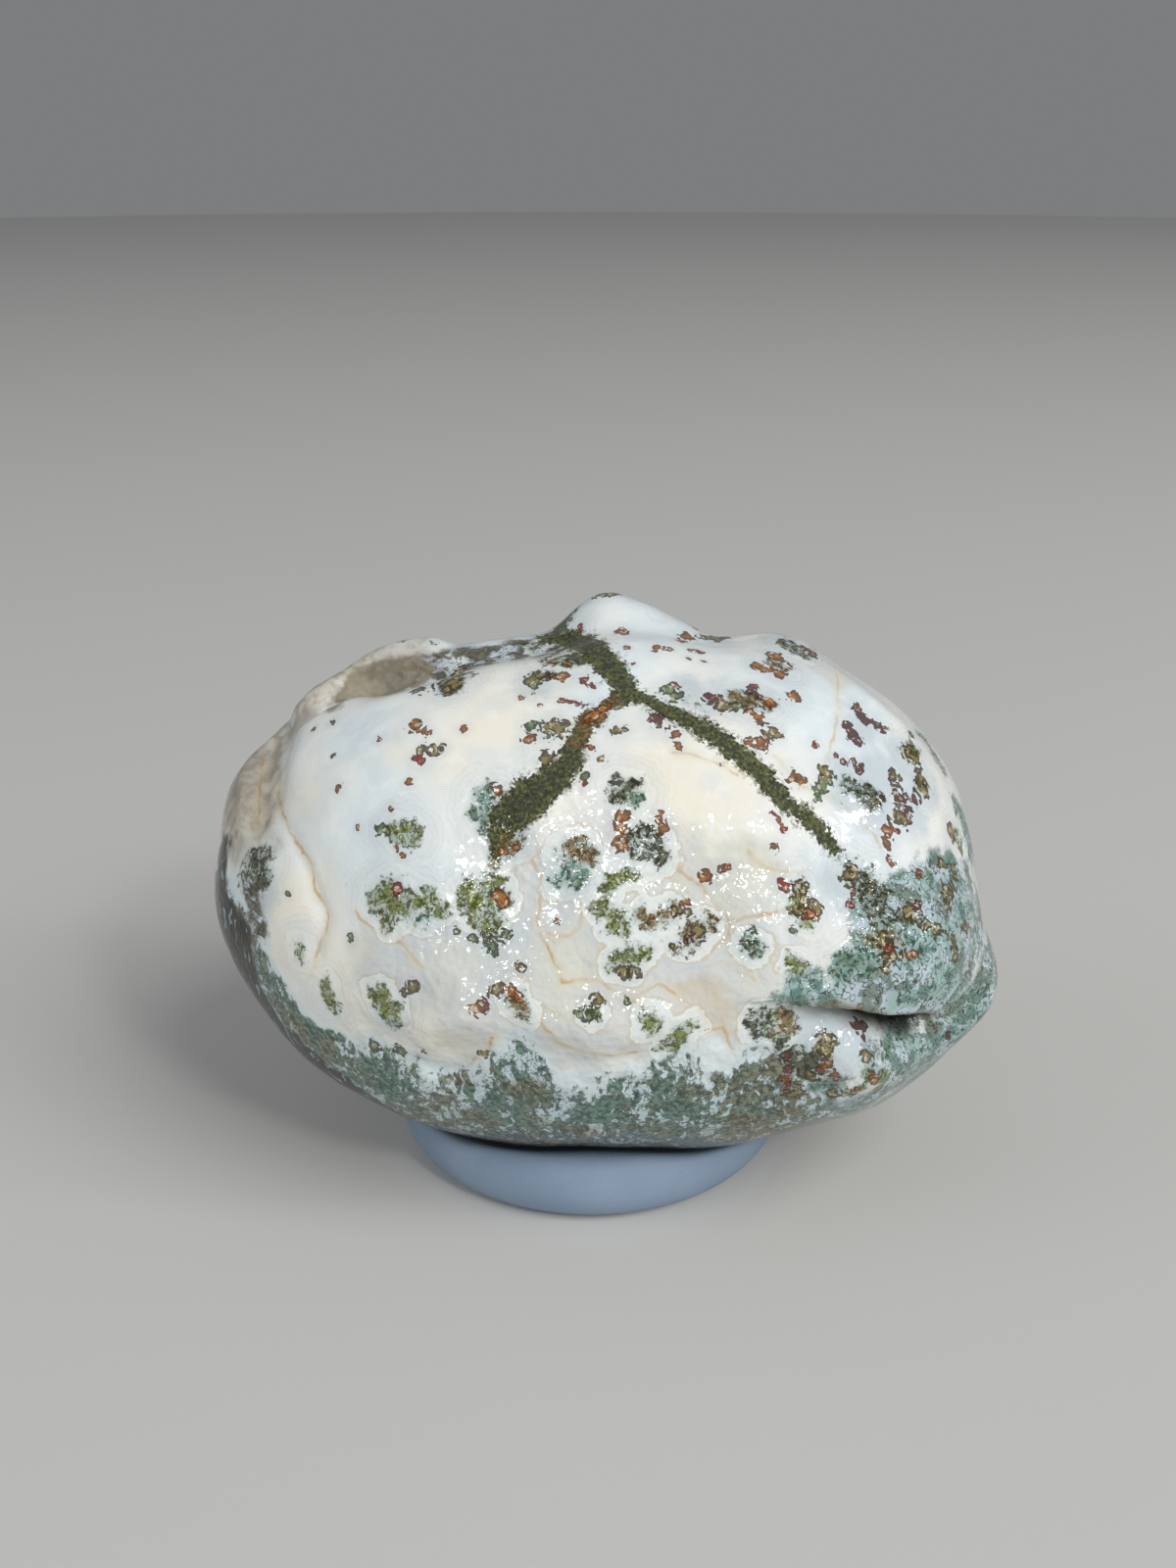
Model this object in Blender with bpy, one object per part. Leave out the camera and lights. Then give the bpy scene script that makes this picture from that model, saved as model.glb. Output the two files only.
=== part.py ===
"""A polished moss agate nodule, resting on its small round display pad.

Metres, +Z up. The origin is the middle of the pad's flat underside, on the
surface that it stands on. +X runs along the stone, to the right as it is
looked at, and the viewer is on the -Y side, a little above the stone.
"""
import math

import bmesh
import bpy
import numpy as np
from mathutils import Vector, noise
from mathutils.bvhtree import BVHTree

MM = 0.001

# The stone, in millimetres. Its broad face leans back from upright, and its
# outline is measured across that face from the heart of the stone: x to the
# right, u up the face.
HEART = np.array([1.4, -2.4, 26.3])
FACE_LEAN = math.radians(25)
FRONT_THICKNESS = 21.5
BACK_THICKNESS = 23.0
FULLNESS = 2.15
EGG_HALVES = (36.0, 23.5, 22.0)
OUTLINE = [
    (33.9, 0.0), (33.5, 5.0), (32.2, 9.4), (28.8, 14.4), (24.3, 18.3),
    (19.5, 21.3), (14.0, 22.8), (8.0, 23.3), (0.0, 23.3), (-6.0, 23.2),
    (-11.0, 22.6), (-16.0, 21.9), (-20.5, 20.8), (-25.6, 18.3),
    (-30.0, 14.9), (-33.3, 11.0), (-35.2, 6.5), (-36.1, 0.0),
    (-34.0, -7.3), (-28.7, -14.2), (-20.4, -20.1), (-8.9, -23.3),
    (1.9, -23.8), (11.8, -23.3), (19.1, -21.7), (26.3, -19.0),
    (32.2, -13.6), (34.9, -8.2),
]

# Fineness of the stone's surface: squares along each edge of its grid.
GRID = 26

# The fold between the rounded nose and the jaw under it, across the face.
MOUTH = [
    (9.4, -11.1), (12.9, -9.4), (17.0, -9.8), (22.1, -10.1), (26.2, -10.8),
    (29.3, -10.2), (31.9, -7.9), (33.4, -5.0),
]
MOUTH_DEPTH = [0.1, 0.6, 1.4, 3.0, 4.0, 2.8, 1.6, 0.5]
MOUTH_LIP = 0.7
MOUTH_WALL = 0.8
MOUTH_RUN = 4.6
MOUTH_UNDERCUT = 0.35
MOUTH_END_FADE = 3.0
WALL_START = -0.1
LIP_REACH = 4.0
LIP_START = -0.9
LIP_FULL_DEPTH = 1.5
UNDERCUT_RUN = (1.0, 4.0)
ROW_GATHER = 0.45
ROW_GATHER_REACH = 0.34
POLISH_REACH = 3.2
POLISH_AMOUNT = 0.35
POLISH_PASSES = 2

# Rounded swellings on the viewer's side: name, (x, u), reach, height.
FRONT_MOUNDS = [
    ("top knob", (0.2, 23.0), 6.0, 4.1),
    ("knob shoulder", (5.0, 22.9), 5.0, 1.7),
    ("knob apron", (1.8, 20.4), 7.0, 0.9),
    ("top right hump", (15.5, 21.9), 5.5, 0.9),
    ("nose", (25.6, -3.4), 10.5, 1.7),
    ("nose tip", (31.0, -1.5), 6.0, 0.5),
    ("jaw", (20.5, -16.2), 9.0, 1.3),
    ("jaw corner", (33.6, -9.4), 6.5, 1.4),
    ("left lobe", (-33.2, 9.0), 6.0, 0.5),
    ("ridge behind the terrace", (-19.0, 21.0), 6.0, 0.4),
    ("upper left dome", (-17.0, 9.0), 12.0, 0.5),
    ("middle dome", (2.5, 6.5), 11.0, 0.5),
    ("right dome", (14.5, 2.0), 10.0, 0.6),
    ("lower left swell", (-14.0, -8.0), 9.0, 0.6),
    ("lower swell", (-1.0, -13.5), 8.0, 0.5),
    ("left hip", (-27.0, -8.0), 8.0, 0.5),
]

# Long hollows and ridges on the viewer's side: name, path, reach, height. Each
# fades out over a share of its length at both ends.
LINE_FADE = (-0.15, 0.25)
FRONT_LINES = [
    ("left fold", [(-28.6, 15.2), (-29.5, 12.0), (-29.6, 8.8), (-29.2, 5.4)], 2.8, -2.1),
    ("left step", [(-28.0, 7.5), (-26.2, 2.8), (-24.4, 0.0), (-23.6, -6.0)], 2.6, -0.45),
    ("terrace", [(-23.5, 18.4), (-19.0, 18.3), (-15.3, 19.4), (-11.9, 20.1)], 3.4, -2.2),
    ("top streak hollow", [(-11.0, 20.2), (-7.0, 20.8), (-3.4, 21.3)], 3.2, -0.9),
    ("saddle", [(8.5, 21.5), (11.5, 22.0), (14.0, 21.8)], 3.0, -0.3),
    ("right rim", [(18.8, 20.2), (22.3, 16.5), (26.1, 12.7), (28.7, 9.3)], 2.6, 0.55),
    ("middle valley", [(-4.2, -6.2), (0.0, -7.6), (4.6, -8.2), (9.0, -5.0)], 3.6, -0.5),
    ("valley arm", [(7.4, -0.4), (9.3, -3.2), (8.8, -6.0)], 2.6, -0.4),
    ("lower slit", [(-15.8, -14.9), (-14.0, -15.1), (-12.3, -14.6)], 1.9, -0.7),
    ("lower left crease", [(-25.5, -9.0), (-20.0, -12.5), (-16.0, -14.0)], 3.0, -0.25),
]

# The same on the far side, where the nodule keeps its lumpy, rolling skin.
BACK_MOUNDS = [
    ("back of the knob", (1.0, 23.2), 9.0, 1.6),
    ("back left swell", (-18.0, 6.0), 15.0, 2.0),
    ("back right swell", (13.0, -5.0), 13.0, 1.7),
    ("back top swell", (8.0, 15.0), 9.0, 1.1),
    ("back hip", (-22.0, -11.0), 10.0, 1.3),
    ("back low swell", (3.0, -17.0), 9.0, 0.9),
    ("back end swell", (28.0, 6.0), 8.0, 1.0),
]
BACK_LINES = [
    ("back valley", [(-4.0, 14.0), (-2.5, 6.0), (-3.5, -2.0), (-9.0, -9.0)], 5.5, -1.6),
    ("back fold", [(15.0, 9.0), (19.5, 5.5), (22.0, 0.0), (21.5, -6.0)], 3.4, -1.3),
    ("back low fold", [(-14.0, -13.5), (-7.0, -14.0), (0.0, -12.0)], 3.2, -1.0),
]

# Small rolling of the whole skin, and the worn flat that the stone rests on.
ROLL_HEIGHT = 0.4
ROLL_LENGTH = 9.0
FLAT_LEVEL = 3.3
FLAT_KEEP = 0.15

# The pad, in millimetres: a soft disc with a bulging edge, dished by the stone.
PAD_RADIUS = 18.8
PAD_FOOT_RADIUS = 16.2
PAD_HEIGHT = 6.8
PAD_EDGE_STEPS = 7
PAD_TOP_RINGS = 7
PAD_SIDES = 44
PAD_GAP = 0.45
PAD_SETTLE = 0.1
BELOW_PAD = -5.0
MERGE_DISTANCE = 0.01

AGATE_COLOUR = (0.72, 0.74, 0.70)
AGATE_ROUGHNESS = 0.12
AGATE_SUBSURFACE = 0.15
RUBBER_COLOUR = (0.24, 0.29, 0.38)
RUBBER_ROUGHNESS = 0.55

RIGHT = np.array([1.0, 0.0, 0.0])
UP_FACE = np.array([0.0, math.sin(FACE_LEAN), math.cos(FACE_LEAN)])
OUT_FACE = np.array([0.0, -math.cos(FACE_LEAN), math.sin(FACE_LEAN)])


def clear_scene():
    """Remove the objects that the scene starts with."""
    for old in list(bpy.data.objects):
        bpy.data.objects.remove(old, do_unlink=True)


def plain_material(name, colour, roughness, subsurface=0.0):
    """A Principled material with one colour and one roughness."""
    material = bpy.data.materials.new(name)
    material.use_nodes = True
    shader = material.node_tree.nodes["Principled BSDF"]
    shader.inputs["Base Color"].default_value = (*colour, 1.0)
    shader.inputs["Roughness"].default_value = roughness
    shader.inputs["Metallic"].default_value = 0.0
    shader.inputs["Subsurface Weight"].default_value = subsurface
    return material


def bell(distance, reach):
    """One in the middle, easing to nothing at the reach."""
    t = np.clip(distance / reach, 0.0, 1.0)
    return (1.0 - t * t) ** 2


def ease(value, low, high):
    """Smooth step from 0 at low to 1 at high."""
    t = np.clip((value - low) / (high - low), 0.0, 1.0)
    return t * t * (3.0 - 2.0 * t)


def outline_radius(angles):
    """Radius of the stone's outline at each angle, by a closed cubic through its points."""
    polar = sorted((math.atan2(u, x), math.hypot(x, u)) for x, u in OUTLINE)
    turn = 2.0 * math.pi
    at = np.array([a for a, r in polar])
    radius = np.array([r for a, r in polar])
    at = np.concatenate([at - turn, at, at + turn])
    radius = np.tile(radius, 3)
    slope = np.gradient(radius, at)
    i = np.clip(np.searchsorted(at, angles) - 1, 0, len(at) - 2)
    span = at[i + 1] - at[i]
    t = (angles - at[i]) / span
    start = (1 + 2 * t) * (1 - t) ** 2 * radius[i] + t * (1 - t) ** 2 * span * slope[i]
    end = t * t * (3 - 2 * t) * radius[i + 1] - t * t * (1 - t) * span * slope[i + 1]
    return start + end


def on_face(x, u, front=True):
    """The point of the stone's plain form over (x, u) of its face, in millimetres."""
    reach = math.hypot(x, u)
    rim = float(outline_radius(np.array([math.atan2(u, x)]))[0])
    share = min(reach / rim, 1.0)
    depth = (1.0 - share ** FULLNESS) ** (1.0 / FULLNESS)
    depth *= FRONT_THICKNESS if front else -BACK_THICKNESS
    scale = share * rim / reach if reach else 1.0
    return HEART + RIGHT * x * scale + UP_FACE * u * scale + OUT_FACE * depth


def plain_form(directions):
    """The stone without its relief: how far it reaches from the heart, each way."""
    x = directions @ RIGHT
    u = directions @ UP_FACE
    w = directions @ OUT_FACE
    rim = outline_radius(np.arctan2(u, x))
    thickness = np.where(w > 0.0, FRONT_THICKNESS, BACK_THICKNESS)
    across = np.hypot(x, u) / rim
    through = np.abs(w) / thickness
    return (across ** FULLNESS + through ** FULLNESS) ** (-1.0 / FULLNESS)


def path_points(path, front=True, spacing=0.5):
    """Points along a path over the face, close together, with their share of its length."""
    corners = np.array([on_face(x, u, front) for x, u in path])
    lengths = np.linalg.norm(np.diff(corners, axis=0), axis=1)
    along = np.concatenate([[0.0], np.cumsum(lengths)])
    at = np.linspace(0.0, along[-1], max(2, int(along[-1] / spacing)))
    points = np.stack([np.interp(at, along, corners[:, k]) for k in range(3)], axis=1)
    return points, at / along[-1]


def nearest_on(points, targets):
    """For each point, its distance to the nearest target and that target's index."""
    gap = np.linalg.norm(points[:, None, :] - targets[None, :, :], axis=2)
    index = gap.argmin(axis=1)
    return gap[np.arange(len(points)), index], index


def sphere_grid():
    """A ball of even squares: a cube cut into a grid and blown out to a sphere."""
    ball = bmesh.new()
    bmesh.ops.create_cube(ball, size=2.0)
    bmesh.ops.subdivide_edges(ball, edges=ball.edges[:], cuts=GRID - 1, use_grid_fill=True)
    for vert in ball.verts:
        spread = Vector([math.tan(c * math.pi / 4.0) for c in vert.co])
        vert.co = spread.normalized()
    return ball


def gather_rows(directions):
    """Draw the grid's rows together along the mouth, where the form turns sharply."""
    path, _ = path_points(MOUTH)
    path = path - HEART
    path /= np.linalg.norm(path, axis=1)[:, None]
    gap, index = nearest_on(directions, path)
    keep = ROW_GATHER + (1.0 - ROW_GATHER) * ease(gap, 0.0, ROW_GATHER_REACH)
    drawn = path[index] + (directions - path[index]) * keep[:, None]
    return drawn / np.linalg.norm(drawn, axis=1)[:, None]


def outward(points):
    """The direction out of the plain form at each point."""
    local = points - HEART
    x = local @ RIGHT / EGG_HALVES[0] ** 2
    u = local @ UP_FACE / EGG_HALVES[1] ** 2
    w = local @ OUT_FACE / EGG_HALVES[2] ** 2
    out = x[:, None] * RIGHT + u[:, None] * UP_FACE + w[:, None] * OUT_FACE
    return out / np.linalg.norm(out, axis=1)[:, None]


def raise_mounds(points, mounds, front):
    """Swell the surface round each mound's middle."""
    for _, (x, u), reach, height in mounds:
        gap = np.linalg.norm(points - on_face(x, u, front), axis=1)
        points = points + outward(points) * (height * bell(gap, reach))[:, None]
    return points


def draw_lines(points, lines, front):
    """Sink or raise the surface along each path, fading out at the path's ends."""
    for _, path, reach, height in lines:
        targets, share = path_points(path, front)
        gap, index = nearest_on(points, targets)
        fade = ease(np.minimum(share, 1.0 - share)[index], *LINE_FADE)
        points = points + outward(points) * (height * fade * bell(gap, reach))[:, None]
    return points


def open_mouth(points):
    """Fold the surface in under the nose: a lip above, a steep wall, a long rise below."""
    targets, share = path_points(MOUTH)
    gap, index = nearest_on(points, targets)
    out = outward(points)
    along = np.gradient(targets, axis=0)[index]
    above = np.cross(along, out)
    above /= np.linalg.norm(above, axis=1)[:, None]
    above *= np.sign(above @ UP_FACE)[:, None]
    side = np.einsum("ij,ij->i", points - targets[index], above)
    depth = np.interp(share[index], np.linspace(0.0, 1.0, len(MOUTH_DEPTH)), MOUTH_DEPTH)
    stretch = np.abs(gap ** 2 - side ** 2) ** 0.5
    depth = depth * bell(stretch, MOUTH_END_FADE)
    sink = ease(-side, WALL_START, MOUTH_WALL) * (1.0 - ease(-side, MOUTH_WALL, MOUTH_RUN))
    lip = bell(side, LIP_REACH) * ease(side, LIP_START, 0.0) * ease(depth, 0.0, LIP_FULL_DEPTH)
    tuck = sink * depth * MOUTH_UNDERCUT * (1.0 - ease(-side, *UNDERCUT_RUN))
    moved = points - out * (sink * depth)[:, None]
    moved = moved + out * (lip * MOUTH_LIP)[:, None]
    return moved + above * tuck[:, None]


def roll_skin(points):
    """The low, even rolling that is left on a tumbled nodule."""
    height = [noise.noise(Vector(p / ROLL_LENGTH)) for p in points]
    return points + outward(points) * (ROLL_HEIGHT * np.array(height))[:, None]


def polish_mouth(stone):
    """Round the mouth's edges, as tumbling does."""
    targets, _ = path_points(MOUTH)
    points = np.array([vert.co[:] for vert in stone.verts])
    gap, _ = nearest_on(points, targets)
    near = [vert for vert, distance in zip(stone.verts, gap) if distance < POLISH_REACH]
    for _ in range(POLISH_PASSES):
        bmesh.ops.smooth_vert(
            stone, verts=near, factor=POLISH_AMOUNT,
            use_axis_x=True, use_axis_y=True, use_axis_z=True,
        )


def wear_flat(points):
    """Press the lowest part of the stone to a small flat."""
    points[:, 2] = np.where(
        points[:, 2] < FLAT_LEVEL,
        FLAT_LEVEL - (FLAT_LEVEL - points[:, 2]) * FLAT_KEEP,
        points[:, 2],
    )
    return points


def stone_mesh():
    """The nodule's closed surface, in millimetres."""
    stone = sphere_grid()
    directions = np.array([vert.co[:] for vert in stone.verts])
    directions = gather_rows(directions)
    points = HEART + directions * plain_form(directions)[:, None]
    points = raise_mounds(points, FRONT_MOUNDS, front=True)
    points = draw_lines(points, FRONT_LINES, front=True)
    points = raise_mounds(points, BACK_MOUNDS, front=False)
    points = draw_lines(points, BACK_LINES, front=False)
    points = roll_skin(points)
    points = open_mouth(points)
    points = wear_flat(points)
    for vert, place in zip(stone.verts, points):
        vert.co = place
    polish_mouth(stone)
    bmesh.ops.recalc_face_normals(stone, faces=stone.faces[:])
    return stone


def pad_profile():
    """The pad's section, from the middle of its foot round its edge to the middle of its top."""
    profile = [(0.0, 0.0)]
    half = PAD_HEIGHT / 2.0
    bulge = PAD_RADIUS - PAD_FOOT_RADIUS
    for step in range(PAD_EDGE_STEPS + 1):
        turn = math.pi * (step / PAD_EDGE_STEPS - 0.5)
        profile.append((PAD_FOOT_RADIUS + bulge * math.cos(turn), half + half * math.sin(turn)))
    for ring in range(1, PAD_TOP_RINGS):
        profile.append((PAD_FOOT_RADIUS * (1.0 - ring / PAD_TOP_RINGS), PAD_HEIGHT))
    profile.append((0.0, PAD_HEIGHT))
    return profile


def pad_mesh(stone):
    """The pad's closed surface, in millimetres, dished to lie just under the stone."""
    pad = bmesh.new()
    verts = [pad.verts.new((radius, 0.0, height)) for radius, height in pad_profile()]
    edges = [pad.edges.new(pair) for pair in zip(verts, verts[1:])]
    bmesh.ops.spin(
        pad, geom=verts + edges, cent=(0, 0, 0), axis=(0, 0, 1),
        angle=2.0 * math.pi, steps=PAD_SIDES, use_merge=True,
    )
    bmesh.ops.remove_doubles(pad, verts=pad.verts[:], dist=MERGE_DISTANCE)
    under = BVHTree.FromBMesh(stone)
    for vert in pad.verts:
        hit, _, _, _ = under.ray_cast(Vector((vert.co.x, vert.co.y, BELOW_PAD)), Vector((0, 0, 1)))
        if hit and vert.co.z > 0.0:
            vert.co.z = min(vert.co.z, hit.z - PAD_GAP)
            while under.find_nearest(vert.co)[3] < PAD_GAP:
                vert.co.z -= PAD_SETTLE
    bmesh.ops.recalc_face_normals(pad, faces=pad.faces[:])
    return pad


def make_object(name, shape, material):
    """Turn a shape in millimetres into a smooth-shaded object in metres."""
    bmesh.ops.scale(shape, vec=(MM, MM, MM), verts=shape.verts[:])
    mesh = bpy.data.meshes.new(name)
    shape.to_mesh(mesh)
    shape.free()
    mesh.materials.append(material)
    mesh.shade_smooth()
    thing = bpy.data.objects.new(name, mesh)
    bpy.context.scene.collection.objects.link(thing)
    return thing


def main():
    clear_scene()
    agate = plain_material("white_moss_agate", AGATE_COLOUR, AGATE_ROUGHNESS, AGATE_SUBSURFACE)
    rubber = plain_material("blue_grey_rubber", RUBBER_COLOUR, RUBBER_ROUGHNESS)
    stone = stone_mesh()
    pad = pad_mesh(stone)
    make_object("moss_agate", stone, agate)
    make_object("display_pad", pad, rubber)


main()
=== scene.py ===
"""Looks of a polished moss agate nodule that lies in a small round soft pad.

The stone's markings are placed one by one: a place in the photograph is a pixel, and the ray through it
meets the stone.
distances into colour. The sides that the photograph doesn't show get markings of the same kinds.
"""

import math
from types import SimpleNamespace

import bmesh
import bpy
import numpy as np
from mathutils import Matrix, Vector, noise
from mathutils.bvhtree import BVHTree


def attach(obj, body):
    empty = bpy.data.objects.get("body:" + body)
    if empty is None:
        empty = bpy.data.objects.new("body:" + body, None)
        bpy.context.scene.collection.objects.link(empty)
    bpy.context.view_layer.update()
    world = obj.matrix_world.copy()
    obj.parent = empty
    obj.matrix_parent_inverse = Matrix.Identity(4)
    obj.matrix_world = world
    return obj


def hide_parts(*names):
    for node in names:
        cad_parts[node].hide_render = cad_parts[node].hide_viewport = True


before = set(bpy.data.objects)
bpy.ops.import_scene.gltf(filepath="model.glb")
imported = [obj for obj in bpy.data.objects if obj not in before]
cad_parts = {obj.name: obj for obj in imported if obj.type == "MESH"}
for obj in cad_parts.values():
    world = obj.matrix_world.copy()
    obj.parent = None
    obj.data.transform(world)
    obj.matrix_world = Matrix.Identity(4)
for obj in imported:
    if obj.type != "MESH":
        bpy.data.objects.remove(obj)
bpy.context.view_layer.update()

MM = 0.001
# Farther than anything in mm, a step too short to divide by, and a height in metres well outside the stone.
FAR = 1e9
TINY = 1e-9
OUTSIDE = 0.1

# The camera stands where the photograph was taken from. Pixels are those of the 1200 by 1600 photograph.
PHOTO_MIDDLE = (600, 800)
CAMERA_PLACE = Vector((-0.0003, -0.1422, 0.0929))
CAMERA_DOWN = math.radians(22)
CAMERA_LENS = 38.25
SENSOR_SIZE = 36.0
FOCAL_PIXELS = CAMERA_LENS / SENSOR_SIZE * 2 * PHOTO_MIDDLE[1]

# The stone's middle and the half widths of its egg shape, in mm.
STONE_HEART = Vector((1.4, -2.4, 26.3))
EGG_HALVES = (36.0, 23.0, 23.0)
FINE_LEVELS = 2

# Specks, kept by their radius in mm: the pixels across and down.
RUST_SPECKS = {
    0.25: [(404, 865)], 0.3: [(853, 770), (500, 803), (551, 719)],
    0.35: [(320, 744), (365, 844), (702, 672), (569, 940)],
    0.4: [(411, 871), (532, 712), (603, 762), (911, 881), (669, 838), (870, 912), (666, 936)],
    0.45: [(417, 799)],
    0.5: [(437, 747), (473, 744), (580, 677), (614, 775), (693, 763), (764, 758), (795, 836), (738, 885),
        (907, 866), (853, 1098), (873, 1112), (907, 967), (699, 920), (531, 1019), (513, 870)],
    0.55: [(345, 803), (791, 865)],
    0.6: [(694, 654), (782, 683), (765, 725), (779, 763), (673, 834), (801, 1101), (520, 1010), (514, 921),
        (525, 866)],
    0.65: [(937, 891), (675, 845)], 0.7: [(539, 754), (806, 679), (816, 796), (931, 973), (843, 1088)],
    0.75: [(506, 806), (689, 749), (904, 848), (634, 832), (635, 846)],
    0.8: [(670, 661), (772, 731), (809, 792), (905, 859), (828, 934), (893, 1101), (508, 914), (617, 722),
        (600, 733)],
    0.85: [(722, 896)],
    0.9: [(573, 690), (634, 645), (773, 680), (795, 688), (785, 716), (776, 757), (488, 1029)],
    0.95: [(812, 711), (632, 862)], 1: [(422, 741), (701, 650), (792, 670)], 1.1: [(608, 728)],
}
RED_SPECKS = {
    0.2: [(735, 780)], 0.25: [(545, 707)], 0.3: [(905, 876)],
    0.35: [(566, 734), (718, 675), (788, 830), (744, 884)],
    0.4: [(387, 754), (592, 718), (604, 764), (646, 677), (800, 846), (690, 698), (916, 847), (770, 700)],
    0.45: [(398, 825), (573, 715), (639, 661), (684, 662), (706, 664), (595, 800), (797, 900)],
    0.5: [(604, 700), (584, 716), (714, 665), (592, 639), (953, 1052)], 0.55: [(831, 759), (868, 923)],
    0.7: [(597, 694), (802, 906)], 0.75: [(426, 774), (405, 907)],
}
MAROON_SPECKS = {
    0.35: [(871, 777)], 0.5: [(733, 713), (776, 711), (860, 778), (944, 752), (805, 1090), (700, 959)],
    0.55: [(903, 744)], 0.6: [(820, 661), (967, 1058), (936, 925), (708, 955)],
    0.7: [(895, 740), (723, 712), (766, 705), (877, 785), (880, 1047), (802, 1078)],
    0.75: [(873, 721), (865, 742)], 0.8: [(875, 755), (933, 815), (926, 833), (874, 1047)],
    0.85: [(878, 729), (886, 735)], 0.9: [(829, 667), (917, 813)], 0.95: [(869, 748), (669, 734)],
}
OLIVE_SPECKS = {
    0.4: [(637, 744), (412, 1013), (685, 965), (432, 1073), (672, 740)], 0.45: [(450, 763)],
    0.5: [(431, 764), (444, 765), (793, 750), (629, 603), (629, 746), (650, 993), (530, 987), (701, 931),
        (689, 930), (494, 1076), (960, 880)],
    0.6: [(738, 651), (747, 720), (540, 695), (912, 975), (1000, 936), (421, 1007), (610, 1021), (714, 953),
        (819, 906), (816, 930), (833, 927)],
    0.7: [(558, 773), (787, 748), (943, 806), (562, 741), (926, 930), (942, 945), (955, 949), (976, 976),
        (973, 959), (905, 985), (849, 1115), (827, 1096), (638, 994), (820, 918)],
    0.8: [(722, 651), (912, 792), (614, 607), (966, 922), (985, 946), (901, 960), (884, 1079), (506, 1009),
        (973, 890), (971, 850)],
    0.85: [(843, 789)],
    0.9: [(731, 652), (738, 720), (925, 768), (933, 773), (940, 798), (623, 606), (458, 703), (546, 690),
        (571, 744), (969, 911), (811, 1116), (866, 893)],
    1: [(918, 835), (467, 687), (841, 1072)], 1.1: [(842, 1063)], 1.2: [(461, 694)],
}
GREEN_SPECKS = {
    0.3: [(340, 771)], 0.35: [(294, 912)],
    0.4: [(547, 737), (560, 752), (834, 815), (769, 948), (465, 949), (358, 957), (482, 958), (770, 962),
        (809, 950), (590, 1034), (640, 1021), (762, 706)],
    0.45: [(340, 737)],
    0.5: [(424, 706), (394, 848), (834, 806), (848, 799), (930, 750), (596, 791), (545, 699)],
    0.65: [(388, 846)], 0.7: [(541, 741), (751, 720), (681, 704), (841, 803), (515, 952), (497, 956)],
    0.8: [(409, 1073), (381, 1067), (503, 969), (764, 966)], 0.85: [(428, 704)], 0.9: [(602, 1035)],
    1.1: [(687, 709)],
}
# Moss clumps: the same, larger and fuzzy.
DARK_MOSS = {
    0.5: [(709, 717)], 0.6: [(700, 716)], 0.8: [(871, 805), (820, 668), (560, 688)],
    0.9: [(642, 801), (882, 807), (868, 888)],
    1: [(650, 868), (866, 801), (805, 657), (905, 938), (915, 934), (925, 936), (800, 1062), (815, 1092),
        (534, 659)],
    1.1: [(271, 874), (814, 663), (776, 1048)], 1.2: [(672, 872), (876, 897), (830, 1090), (546, 663)],
    1.3: [(636, 806), (254, 905), (887, 813), (812, 1076), (575, 650)],
    1.4: [(664, 866), (884, 904), (898, 934), (822, 1082)],
    1.5: [(264, 882), (890, 913), (894, 924), (782, 1040), (584, 672)],
    1.6: [(655, 861), (259, 894), (556, 655), (570, 662)], 1.8: [(256, 900)], 2.1: [(262, 888)],
}
GREEN_MOSS = {
    0.4: [(809, 978)], 0.5: [(662, 972), (818, 981)], 0.6: [(452, 924), (660, 1050)],
    0.7: [(414, 857), (307, 967), (308, 975), (332, 1006), (633, 895), (640, 989), (815, 902), (704, 1046),
        (978, 862), (604, 1035)],
    0.8: [(397, 941), (402, 848), (335, 1015), (382, 1014), (385, 1022), (402, 1028), (641, 892),
        (626, 901), (621, 909), (617, 918), (654, 972), (662, 1038), (866, 1117)],
    0.9: [(419, 853), (338, 1024), (390, 1012), (614, 927), (620, 934), (634, 946), (630, 984), (812, 983),
        (819, 911), (825, 938), (684, 1070), (975, 851), (880, 1108)],
    1: [(401, 903), (398, 934), (446, 925), (411, 911), (500, 941), (503, 928), (505, 905), (645, 975),
        (637, 979), (668, 1043), (696, 1052), (940, 801), (515, 850), (886, 1098), (905, 1100)],
    1.1: [(435, 924), (485, 906), (495, 904), (412, 850), (394, 1030), (626, 941), (817, 921), (690, 1062),
        (930, 768), (843, 1068), (896, 1110)],
    1.2: [(385, 919), (478, 916), (400, 1037)], 1.3: [(394, 911), (425, 921), (493, 934)],
    1.4: [(497, 922)], 1.5: [(487, 919)], 1.6: [(415, 922)], 1.7: [(405, 921)],
}
TEAL_MOSS = {
    0.6: [(498, 806)], 0.7: [(570, 902), (700, 1048), (410, 688)],
    0.8: [(593, 889), (430, 936), (945, 742)],
    0.9: [(575, 896), (589, 895), (495, 815), (648, 815), (953, 757), (968, 784), (905, 1068)],
    1: [(581, 891), (585, 885), (493, 826), (496, 838), (766, 966), (960, 770), (985, 845), (900, 1078),
        (918, 1058)],
    1.1: [(858, 992), (975, 820)], 1.3: [(862, 985), (870, 979), (880, 973), (982, 835), (990, 868)],
    1.4: [(888, 984), (988, 850)],
}
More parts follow.
